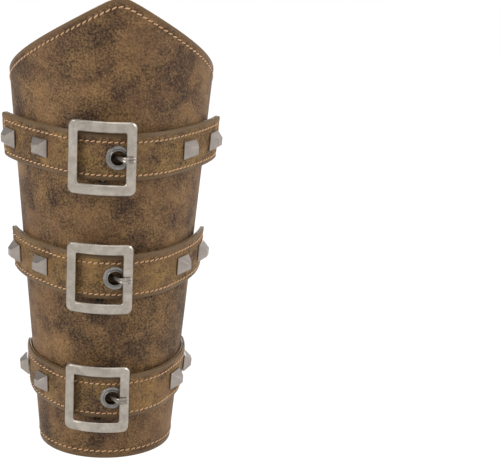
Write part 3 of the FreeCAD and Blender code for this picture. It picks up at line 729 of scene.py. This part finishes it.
# %% Eyelets and their washers
ring_clearance = 0.02
washer_top = -(wall + sagitta(wrist_radius - wall, eyelet_rim))
washer_low = washer_top - washer_thickness
washer_bore = eyelet_barrel + ring_clearance
for side, side_name in ((-1, "left"), (1, "right")):
    washers = bmesh.new()
    for row in range(1, eyelets_per_side + 1):
        shape = bmesh.new()
        seat = eyelet_seat(side, row)
        spun(shape, rolled(
            eyelet_bore, eyelet_rim, 0.1, eyelet_crown - 0.1, washer_low, eyelet_barrel, 1.5), seat)
        name = "lace_eyelet_%s_%d" % (side_name, row)
        make("ring_" + name, shape, eyelet_nickel, [name], 50)
        spun(washers, [
            (washer_bore, washer_low), (eyelet_rim - 0.2, washer_low), (eyelet_rim, washer_low + 0.2),
            (eyelet_rim, washer_top), (washer_bore, washer_top)], seat)
    name = "eyelet_washers_" + side_name
    make("rings_" + name, washers, eyelet_nickel, [name], 50)

# %% Grommets of the straps
backing_washer = 6.0
for place, line in straps.items():
    top = stand_off - sagitta(line.arc_radius, backing_washer) - 0.1
    low = top - washer_thickness
    shape = bmesh.new()
    spun(shape, rolled(
        grommet_bore, grommet_rim, stand_off + strap_thickness + 0.1, grommet_flange, low, grommet_barrel,
        0.9), line.seat, 48)
    make("ring_grommet_" + place, shape, grommet_nickel, ["strap_grommet_" + place], 50)
    shape = bmesh.new()
    bore = grommet_barrel + ring_clearance
    spun(shape, [
        (bore, low), (backing_washer - 0.2, low), (backing_washer, low + 0.2), (backing_washer, top),
        (bore, top)], line.seat, 48)
    make("ring_washer_" + place, shape, eyelet_nickel, ["grommet_washer_" + place], 50)

# %% [markdown]
# ## Studs
#
# A stud is cast: a thin square plinth, then four sloping sides up to a small square top. It starts as a
# cube, whose top face is extruded and drawn in. Bevels make the worn edges, and a post goes through the
# leather to a rivet cap.

# %% Studs and caps
stud_base, stud_top, stud_plinth, stud_height = 10.0, 4.3, 0.8, 4.9
post_radius, cap_radius, cap_thickness, worn_edge, cap_room = 1.5, 4.0, 0.8, 0.22, 0.4
reaches = {
    "out_left": -outer_reach, "in_left": -inner_reach, "in_right": inner_reach, "out_right": outer_reach}
for place, line in straps.items():
    caps = bmesh.new()
    for position, reach in reaches.items():
        seat = line.seat_at(reach, 0) @ Matrix.Translation((0, 0, strap_thickness + 0.1))
        if abs(reach) == inner_reach:
            cap_top = strap_thickness + cap_room + wall + 2 * sagitta(wrist_radius, cap_radius)
        else:
            cap_top = strap_thickness + cap_room - cap_thickness
        shape = bmesh.new()
        bmesh.ops.create_cube(shape, size=1)
        bmesh.ops.scale(shape, vec=(stud_base, stud_base, stud_plinth), verts=shape.verts)
        bmesh.ops.translate(shape, vec=(0, 0, stud_plinth / 2), verts=shape.verts)
        top = max(shape.faces, key=lambda face: face.calc_center_median().z)
        grown = bmesh.ops.extrude_face_region(shape, geom=[top])["geom"]
        bmesh.ops.delete(shape, geom=[top], context="FACES_ONLY")
        corners = [item for item in grown if isinstance(item, bmesh.types.BMVert)]
        bmesh.ops.translate(shape, vec=(0, 0, stud_height - stud_plinth), verts=corners)
        bmesh.ops.scale(shape, vec=(stud_top / stud_base, stud_top / stud_base, 1), verts=corners)
        bmesh.ops.bevel(
            shape, geom=shape.edges[:], offset=worn_edge, offset_type="OFFSET", segments=2, profile=0.5,
            affect="EDGES", material=-1)
        punch(shape, Matrix.Identity(4), post_radius, -cap_top - cap_thickness, 0.2)
        bmesh.ops.transform(shape, matrix=seat, verts=shape.verts)
        name = "stud_%s_%s" % (place, position)
        make("cast_" + name, shape, stud_nickel, [name], 14)
        bore = post_radius + ring_clearance
        spun(caps, [
            (bore, -cap_thickness), (3.0, -cap_thickness), (3.7, -0.62), (cap_radius, -0.3), (cap_radius, 0),
            (bore, 0)], seat @ Matrix.Translation((0, 0, -cap_top)), 28)
    name = "stud_caps_" + place
    make("rivet_caps_" + place, caps, stud_nickel, [name], 50)

# %% [markdown]
# ## Buckles
#
# A buckle is a square frame, bent to the arm, with a round bar behind the strap and a prong that turns on
# it. The frame starts as two loops of points, the outer with round corners and the inner nearly sharp,
# bridged into a flat ring. The ring gets its thickness and its bevels while it is flat, and is bent last.

# %% Buckle frames
frame_width, frame_height, frame_thickness = 36.0, 39.5, 2.4
frame_side, frame_end, frame_clearance, frame_offset = 5.2, 6.0, 1.8, 8.2
frame_bevel, frame_wear, outer_corner, inner_corner = 0.75, 0.14, 3.5, 0.7
bar_radius, prong_fit, prong_loop_wall, bar_clearance = 1.0, 0.08, 0.88, 0.2
lug_depth, lug_overlap = 3.2, 0.8
loop_radius = bar_radius + prong_fit + prong_loop_wall


def rounded_outline(share, half_width, half_height, radius):
    """A point on a rounded rectangle, at a share of the way round it."""
    straights = [2 * (half_height - radius), 2 * (half_width - radius)] * 2
    arc = math.pi / 2 * radius
    distance = (share % 1.0) * (sum(straights) + 4 * arc)
    for index, length in enumerate(straights):
        turn = Matrix.Rotation(index * math.pi / 2, 2)
        across = half_width - radius if index in (0, 3) else radius - half_width
        centre = Vector((across, half_height - radius if index < 2 else radius - half_height))
        if distance <= length:
            return centre + turn @ Vector((radius, distance - length))
        distance -= length
        if distance <= arc:
            angle = distance / radius
            return centre + turn @ Vector((radius * math.cos(angle), radius * math.sin(angle)))
        distance -= arc
    return centre + Vector((radius, 0))


def frame_radius(line):
    return line.arc_radius + strap_thickness + frame_clearance


def bar_out(line):
    """Radius of the bar's middle about the strap's front arc."""
    return line.arc_radius - bar_clearance - loop_radius


def buckle_turn(line):
    return frame_offset / (line.arc_radius + strap_thickness)


def about_arc(line, radius, angle, up=0.0):
    """A point at a radius and angle about the middle of the strap's front arc."""
    return line.seat @ Vector((radius * math.sin(angle), up, line.arc_centre + radius * math.cos(angle)))


for place, line in straps.items():
    shape = bmesh.new()
    for half_width, half_height, radius in (
            (frame_width / 2, frame_height / 2, outer_corner),
            (frame_width / 2 - frame_side, frame_height / 2 - frame_end, inner_corner)):
        for vertex in bmesh.ops.create_circle(shape, cap_ends=False, segments=120, radius=1)["verts"]:
            # A shift of 0.15 of a turn brings the points of both loops side by side.
            share = math.atan2(vertex.co.y, vertex.co.x) / (2 * math.pi) + 0.15
            vertex.co.xy = rounded_outline(share, half_width, half_height, radius)
    bmesh.ops.bridge_loops(shape, edges=shape.edges[:])
    bmesh.ops.recalc_face_normals(shape, faces=shape.faces)
    if sum(face.normal.z for face in shape.faces) < 0:
        bmesh.ops.reverse_faces(shape, faces=shape.faces)
    piece = mesh_object("buckle_ring_" + place, shape, buckle_nickel)
    add_modifier(piece, "SOLIDIFY", thickness=frame_thickness, offset=-1)
    soften(piece, frame_bevel, 1, 60)
    soften(piece, frame_wear, 2, 25)
    bent = applied(piece)
    piece.modifiers.clear()
    piece.data = bent
    inner, turn = frame_radius(line), -buckle_turn(line)
    for vertex in bent.vertices:
        across, up, depth = vertex.co
        vertex.co = about_arc(
            line, inner + frame_thickness + depth, across / (inner + frame_thickness / 2) + turn, up)
    shape = bmesh.new()
    shape.from_mesh(bent)
    bar = bar_out(line)
    for end in (-1, 1):
        up = end * (frame_height / 2 - frame_end + lug_depth / 2)
        foot, leg = (
            line.turned_at(about_arc(line, radius, turn, up)) @ Matrix.Rotation(turn, 4, "Y")
            for radius in (bar, (bar + inner) / 2 + lug_overlap))
        round_bar(shape, loop_radius, lug_depth, foot @ Matrix.Rotation(math.pi / 2, 4, "X"))
        size = (2 * loop_radius, lug_depth, inner + lug_overlap - bar, 1)
        bmesh.ops.create_cube(shape, size=1, matrix=leg @ Matrix.Diagonal(size))
    shape.to_mesh(bent)
    shape.free()
    finished(piece, "buckle_" + place, ["buckle_frame_" + place], 20)

    shape = bmesh.new()
    seat = line.turned_at(about_arc(line, bar, turn)) @ Matrix.Rotation(math.pi / 2, 4, "X")
    round_bar(shape, bar_radius, frame_height - 2 * frame_end + 2 * lug_depth, seat)
    make("round_bar_" + place, shape, buckle_nickel, ["buckle_bar_" + place], 40,
         "buckle_" + place)

# %% [markdown]
# ## Prongs
#
# The prong is forged from wire: a loop round the bar, a narrow neck up through the grommet, and a flattened,
# grooved end that lies on the frame. One oval loop of points is repeated along the prong's line, wider
# towards the end, with a dent for the groove, and each is bridged to the one before.

# %% Prongs
prong_thickness, prong_rest, tip_inset = 1.5, 0.15, 1.2
neck_half_width, tip_half_width, groove_depth, groove_half_width = 1.05, 1.8, 0.55, 0.5


def ramp(share, start, length):
    """Rises from 0 to 1 over a length."""
    return max(0.0, min(1.0, (share - start) / length))


for place, line in straps.items():
    turn = buckle_turn(line)
    middle = frame_radius(line) + frame_thickness / 2
    rest = frame_radius(line) + frame_thickness + prong_rest + prong_thickness / 2
    window_edge = (frame_width / 2 - frame_side) / middle - turn
    frame_edge = frame_width / 2 / middle - turn
    into_strap = line.seat.inverted()
    centre = into_strap @ about_arc(line, bar_out(line), -turn)
    crest = into_strap @ about_arc(line, rest, window_edge - prong_thickness / 1.5 / middle)
    tip = into_strap @ about_arc(line, rest, frame_edge - tip_inset / middle)
    corners = [
        centre + Vector((bar_radius + prong_fit + prong_loop_wall / 2, 0, 0)), Vector((-3.0, 0, centre.z)),
        crest, tip]
    stations = []
    for first, second in zip(corners, corners[1:]):
        stations += [first.lerp(second, step / 8) for step in range(8)]
    stations.append(tip)
    for _ in range(3):
        inside = zip(stations, stations[1:], stations[2:])
        smooth = [(before + 2 * here + after) / 4 for before, here, after in inside]
        stations = [stations[0], *smooth, stations[-1]]
    shape = bmesh.new()
    previous = None
    for index, point in enumerate(stations):
        ahead = stations[min(index + 1, len(stations) - 1)]
        behind = stations[max(index - 1, 0)]
        tangent = (ahead - behind).normalized()
        out = Vector((-tangent.z, 0, tangent.x))
        share = index / (len(stations) - 1)
        half_width = neck_half_width + (tip_half_width - neck_half_width) * ramp(share, 0.45, 0.3)
        half_deep = prong_thickness / 2
        if share == 1:
            half_width, half_deep = 0.8 * half_width, 0.5
        groove = groove_depth * ramp(share, 0.5, 0.2)
        loop = bmesh.ops.create_circle(shape, cap_ends=False, segments=28, radius=1)["verts"]
        for vertex in loop:
            across, deep = vertex.co.x, vertex.co.y
            reach = (abs(across) ** 3 + abs(deep) ** 3) ** (-1 / 3)
            across, deep = across * reach * half_width, deep * reach * half_deep
            if deep > 0:
                deep -= groove * math.exp(-(across / groove_half_width) ** 2)
            vertex.co = line.seat @ (point + Vector((0, across, 0)) + out * deep)
        edges = list({edge for vertex in loop for edge in vertex.link_edges})
        if previous:
            bmesh.ops.bridge_loops(shape, edges=previous + edges)
        else:
            bmesh.ops.contextual_create(shape, geom=edges)
        previous = edges
    bmesh.ops.contextual_create(shape, geom=previous)
    bore, side = bar_radius + prong_fit, lug_depth / 2 - 0.1
    spun(shape, [
        (bore, -side), (1.8, -side), (loop_radius, -side + 0.2), (loop_radius, side - 0.2), (1.8, side),
        (bore, side)], line.turned_at(line.seat @ centre) @ Matrix.Rotation(math.pi / 2, 4, "X"), 32)
    bmesh.ops.recalc_face_normals(shape, faces=shape.faces)
    make("forged_prong_" + place, shape, prong_nickel, ["buckle_prong_" + place], 60,
         "prong_" + place)

# %% [markdown]
# ## Seams
#
# The thread runs round the edge of the tube and round each strap. A stitch is a short, plump, slightly
# slanted piece of thread with pointed ends that dip into holes. Small stretched balls stand for the
# stitches, and flat dark ones of painted shade for the holes, spaced evenly along a line.

# %% Sewing along a line
stitch_tilt = math.radians(14)
stitch_length_share, stitch_half_width, stitch_half_height = 0.45, 0.42, 0.4
hole_half_length, hole_half_width, hole_half_depth, hole_lift = 0.45, 0.5, 0.1, 0.02
tube_pitch, tube_lift, strap_pitch, strap_lift = 3.4, 0.05, 3.1, 0.08


def spaced(points, pitch):
    """Places and directions at an even spacing along a row of points."""
    lengths = [(after - before).length for before, after in zip(points, points[1:])]
    count = max(1, round(sum(lengths) / pitch))
    places = []
    travelled, index = 0.0, 0
    for step in range(count):
        target = (step + 0.5) * sum(lengths) / count
        while travelled + lengths[index] < target:
            travelled += lengths[index]
            index += 1
        share = (target - travelled) / lengths[index]
        before, after = points[index:index + 2]
        places.append((before.lerp(after, share), (after - before).normalized()))
    return places


def pour(few, many):
    """Moves the shapes of a small bmesh into a large one: a new shape is made faster in a small one."""
    mesh = bpy.data.meshes.new("poured")
    few.to_mesh(mesh)
    few.clear()
    many.from_mesh(mesh)
    bpy.data.meshes.remove(mesh)


def sew(name, points, normal_at, pitch, lift):
    """Makes the stitches of one seam and the flat dark patches of painted shade at its holes."""
    stitches, holes = bmesh.new(), bmesh.new()
    places = spaced(points, pitch)
    few_stitches, few_holes = bmesh.new(), bmesh.new()
    for index, (place, along) in enumerate(places):
        outward = normal_at(place)
        side = outward.cross(along).normalized()
        along = side.cross(outward)
        slanted = along * math.cos(stitch_tilt) + side * math.sin(stitch_tilt)
        cross = outward.cross(slanted)
        ball = axes(
            slanted * stitch_length_share * pitch, cross * stitch_half_width, outward * stitch_half_height)
        bmesh.ops.create_uvsphere(
            few_stitches, u_segments=6, v_segments=6, radius=1,
            matrix=Matrix.Translation(place + outward * lift) @ ball @ Matrix.Rotation(math.pi / 2, 4, "Y"))
        # A flat dark patch at the end of each stitch is painted shade in its hole.
        hole = axes(along * hole_half_length, side * hole_half_width, outward * hole_half_depth)
        bmesh.ops.create_uvsphere(
            few_holes, u_segments=8, v_segments=4, radius=1,
            matrix=Matrix.Translation(place + along * pitch / 2 + outward * hole_lift) @ hole)
        if index % 20 == 19 or index == len(places) - 1:
            pour(few_stitches, stitches)
            pour(few_holes, holes)
    few_stitches.free()
    few_holes.free()
    make("stitches_" + name, stitches, thread, [], 180)
    make("stitch_holes_" + name, holes, stitch_hole_shade, [], 180)
    print("stitches on", name, len(places))


# %% Seam round the tube
rim_inset, gap_inset, wrist_inset, seam_corner, rim_corner = 4.0, 3.7, 4.4, 3.0, 3.2


def seam_line(offset):
    """The closed seam on the tube: along the rim, down the gap, along the wrist and up the gap again."""
    reach = gap_angle(back_height) - (gap_inset + seam_corner) / tube_radius(back_height)
    slant = math.cos(math.atan(rim_slope))
    angles = [reach * step / 120 for step in range(-120, 121)]
    rim = [(angle, rim_height(angle) - rim_inset / slant) for angle in angles]
    top, low = rim[-1][1] - rim_corner, wrist_inset + seam_corner
    heights = [top - (top - low) * step / 60 for step in range(61)]
    down = [(gap_angle(height) - gap_inset / tube_radius(height), height) for height in heights]
    wrist_reach = gap_angle(0) - (gap_inset + seam_corner) / tube_radius(0)
    wrist = [(wrist_reach * (60 - step) / 60, wrist_inset) for step in range(121)]
    up = [(-angle, height) for angle, height in reversed(down)]
    outline = rim + down + wrist + up + rim[:1]
    return [tube_seat(angle, height) @ Vector((0, 0, offset)) for angle, height in outline]


def tube_outward(place):
    return (tube_seat(math.atan2(place.x, -place.y), 0).to_3x3() @ Vector((0, 0, 1))).normalized()


sew("shell", seam_line(0.0), tube_outward, tube_pitch, tube_lift)
sew("lining", seam_line(-wall), lambda place: -tube_outward(place), tube_pitch, tube_lift)

# %% Seams of the straps
corner = 1.6
high, low = strap_half_width - seam_from_top, seam_from_bottom - strap_half_width
end = strap_half_length - seam_from_end
run = [(end - corner) * step / 80 for step in range(-80, 81)]
rise = [low + corner + (high - low - 2 * corner) * step / 12 for step in range(13)]
outline = [(reach, high) for reach in run] + [(end, up) for up in reversed(rise)]
outline += [(reach, low) for reach in reversed(run)] + [(-end, up) for up in rise] + [(run[0], high)]
for place, line in straps.items():
    points = [line.point(reach, up, strap_thickness - seam_drop) for reach, up in outline]
    sew("strap_" + place, points, line.outward_at, strap_pitch, strap_lift)

# %% [markdown]
# ## Lace
#
# One waxed cord goes through all fourteen eyelets, crosses the gap between each pair, and is knotted behind
# the top of the gap. Its smooth curve is led by the same points as the solid's, and an oval outline gives it
# its slightly flattened section.

# %% The lace's route
lace_diameter, lace_clearance, lace_shift, crossing_spread = 2.8, 0.2, 0.9, 3.0
lace_reach = lace_diameter / 2 + lace_clearance
on_leather, on_rim = lace_reach, eyelet_crown + lace_reach + 2 * lace_clearance
on_eyelet = eyelet_crown + lace_reach + 3 * lace_clearance
under_leather = -(wall + lace_reach)
under_washer = washer_low - lace_reach


def lace_point(across, height, out):
    radius = tube_radius(height)
    angle = math.pi - across / radius
    return Vector(((radius + out) * math.sin(angle), -(radius + out) * math.cos(angle), height))


def eyelet_turn(side, row):
    height = eyelet_height(row)
    across = side * (half_gap(height) + eyelet_from_gap + lace_shift)
    return [lace_point(across, height, under_washer), lace_point(across, height, on_eyelet)]


def straight_height(side, row, across):
    high, low = eyelet_height(row), eyelet_height(row + 1)
    start = side * (half_gap(high) + eyelet_from_gap)
    end = -side * (half_gap(low) + eyelet_from_gap)
    return high + (low - high) * (across - start) / (end - start)


def crown_rim(row):
    return half_gap(eyelet_height(row)) + eyelet_from_gap - eyelet_rim


def crossing(side, row):
    """From an eyelet across the gap and under the other panel."""
    gap = half_gap((eyelet_height(row) + eyelet_height(row + 1)) / 2)
    beside = gap - lace_diameter / 2 - lace_clearance
    spare = max(2 * (beside - lace_diameter / 2), lace_clearance)
    if side > 0:
        stops = [
            (crown_rim(row), on_rim, 0.2),
            (gap + lace_clearance, on_leather + 2 * lace_clearance, 0.3),
            (-beside + 0.35 * spare, on_leather - 0.35 * spare, -crossing_spread),
            (-beside - 0.15 * spare, under_leather, -1.2 * crossing_spread),
            (-gap - lace_diameter, under_leather - lace_clearance, -0.5 * crossing_spread)]
    else:
        stops = [
            (-crown_rim(row), on_rim, 0.5 * crossing_spread),
            (-beside, on_leather + lace_clearance, crossing_spread),
            (-beside + 0.6 * spare, under_leather + 0.5, 0.8 * crossing_spread),
            (gap + lace_diameter, under_leather - lace_clearance, 0.2 * crossing_spread)]
    return [
        lace_point(across, straight_height(side, row, across) + shift, out) for across, out, shift in stops]


def last_crossing(side):
    row = eyelets_per_side - 1
    lift = 0 if side > 0 else lace_diameter + lace_clearance
    stops = [
        (side * crown_rim(row), on_rim + 0.2 * lift), (0, on_leather + 1.2 * lift - lace_clearance),
        (-side * crown_rim(row + 1), on_rim + 0.2 * lift)]
    return [lace_point(across, straight_height(side, row, across), out) for across, out in stops]


def lace_strand(first_side):
    points, side = [], first_side
    for row in range(1, eyelets_per_side - 1):
        points += eyelet_turn(side, row) + crossing(side, row)
        side = -side
    points += eyelet_turn(side, eyelets_per_side - 1) + last_crossing(side)
    return points + eyelet_turn(-side, eyelets_per_side)[::-1]


def knot_points(steps):
    return [lace_point(across, eyelet_height(1) + above, out) for across, above, out in steps]


right_end = knot_points([
    (5.5, -19.0, -9.0), (3.5, -11.0, -10.0), (-2.5, -5.0, -11.0), (-6.0, -0.5, -9.0), (-1.5, 4.5, -5.2),
    (4.5, 5.5, -5.4), (9.5, 2.0, -7.0)])
left_end = knot_points([
    (-10.0, -1.5, -7.2), (-4.5, -4.0, -6.4), (2.5, -2.8, -7.4), (4.2, 1.8, -9.6), (-1.0, 6.0, -9.2),
    (-6.0, 11.5, -7.8), (-9.5, 15.5, -8.6), (-12.0, 11.5, -11.0), (-6.0, 5.5, -13.2), (0.5, 0.0, -14.0),
    (5.5, -6.5, -12.8)])
lace_route = right_end + lace_strand(1) + lace_strand(-1)[::-1] + left_end
print("lace points:", len(lace_route))

# %% The lace
lace_half_thickness, lace_half_width = 1.05, 2.15
pattern_half_thickness, pattern_half_width = 1.1, 2.1


def nurbs_curve(name, dimensions, places):
    """An object with one smooth curve along places in millimetres."""
    curve = bpy.data.curves.new(name, "CURVE")
    curve.dimensions = dimensions
    spline = curve.splines.new("NURBS")
    spline.points.add(len(places) - 1)
    for point, place in zip(spline.points, places):
        point.co = (*(place / 1000), 1)
    spline.order_u = 3
    return linked(name, curve), spline


turns = [2 * math.pi * step / 10 for step in range(10)]
lace_outline, oval = nurbs_curve("lace_outline", "2D", [
    Vector((lace_half_thickness * math.cos(turn), lace_half_width * math.sin(turn), 0)) for turn in turns])
oval.use_cyclic_u = True
lace_outline.data.resolution_u = 2
lace_line, spline = nurbs_curve("waxed_lace_line", "3D", lace_route)
spline.use_endpoint_u = True
lace_line.data.twist_mode = "Z_UP"
lace_line.data.resolution_u = 7
lace_line.data.bevel_mode = "OBJECT"
lace_line.data.bevel_object = lace_outline
lace_line.data.use_fill_caps = True
lace_mesh = applied(lace_line)
lace_mesh.transform(Matrix.Scale(1000, 4))

around = len(turns) * lace_outline.data.resolution_u
rings = [sum((vertex.co for vertex in lace_mesh.vertices[start:start + around]), Vector()) / around
         for start in range(0, len(lace_mesh.vertices), around)]
lace_map = lace_mesh.attributes.new("lace_map", "FLOAT_VECTOR", "POINT")
run = 0.0
for index in range(len(lace_mesh.vertices)):
    turn, ring = 2 * math.pi * (index % around) / around, index // around
    if ring and index % around == 0:
        run += (rings[ring] - rings[ring - 1]).length
    lace_map.data[index].vector = (
        pattern_half_thickness * math.cos(turn), run, pattern_half_width * math.sin(turn))
print("lace:", around, "points round it,", len(rings), "rings,", round(run), "mm long")
lace_mesh.materials.append(lace_cord)
finished(linked("waxed_lace", lace_mesh), "guard", ["lace"], 60)
bpy.data.objects.remove(lace_line)
bpy.data.objects.remove(lace_outline)

# %% [markdown]
# ## Floor, background and light
#
# The guard stands on white paper. The camera sees the paper and the background as plain white, and the
# lamps stay at a level at which a colour renders about as it is written. Two soft lamps light both sides,
# and weaker ones stand above and behind. What the metal mirrors is darker on the left, which gives the
# sides of the studs their different greys.

# %% Floor and background
paper_strength, paper_share = 1.12, 0.86
floor_shape = bmesh.new()
bmesh.ops.create_grid(floor_shape, x_segments=1, y_segments=1, size=3000)
floor = mesh_object("paper_floor", floor_shape)
floor.data.transform(Matrix.Scale(0.001, 4))
paper, tree, shader = new_material("white_paper", Base_Color=paint("F2F2F2"), Roughness=0.9)
ray = add_node(tree, "ShaderNodeLightPath", {}, {}).outputs
seen = maths(tree, "MAXIMUM", ray["Is Camera Ray"], ray["Is Glossy Ray"])
white = add_node(tree, "ShaderNodeEmission", {}, {"Color": (1, 1, 1, 1), "Strength": paper_strength})
mixed = add_node(tree, "ShaderNodeMixShader", {}, {
    0: maths(tree, "MULTIPLY", seen, paper_share), 1: shader.outputs[0], 2: white.outputs[0]})
tree.links.new(mixed.outputs[0], tree.nodes["Material Output"].inputs["Surface"])
floor.data.materials.append(paper)

diffuse_light, darkest_mirrored = 0.42, 0.22
world = bpy.data.worlds.new("studio")
bpy.context.scene.world = world
world.use_nodes = True
tree = world.node_tree
ray = add_node(tree, "ShaderNodeLightPath", {}, {}).outputs
seen = maths(tree, "MAXIMUM", ray["Is Camera Ray"], ray["Is Transmission Ray"])
direction = add_node(tree, "ShaderNodeTexCoord", {}, {}).outputs["Generated"]
split = add_node(tree, "ShaderNodeSeparateXYZ", {}, {"Vector": direction})
mirrored = spread(
    tree, split.outputs["X"], -0.85, 0.0, darkest_mirrored - diffuse_light, 1 - diffuse_light)
strength = maths(
    tree, "MULTIPLY_ADD", ray["Is Glossy Ray"], mirrored, spread(tree, seen, 0, 1, diffuse_light, 1))
background = tree.nodes["Background"]
tree.links.new(strength, background.inputs["Strength"])
background.inputs["Color"].default_value = (1, 1, 1, 1)

# %% Lamps


def lamp(name, place, aim_height, size, power):
    light = bpy.data.lights.new(name, "AREA")
    light.shape = "DISK"
    light.size = size
    light.energy = power
    holder = linked(name, light)
    holder.location = place
    holder.rotation_euler = (Vector((0, 0, aim_height)) - Vector(place)).to_track_quat("-Z", "Y").to_euler()


lamp("left_lamp", (-1.15, -0.55, 0.75), 0.13, 0.6, 11.0)
lamp("right_lamp", (1.15, -0.5, 0.7), 0.13, 0.6, 9.0)
lamp("top_lamp", (0, -0.35, 1.3), 0.15, 0.6, 2.0)
lamp("back_lamp", (0.1, 1.2, 0.8), 0.13, 0.8, 7.0)
bpy.context.scene.view_settings.view_transform = "Standard"
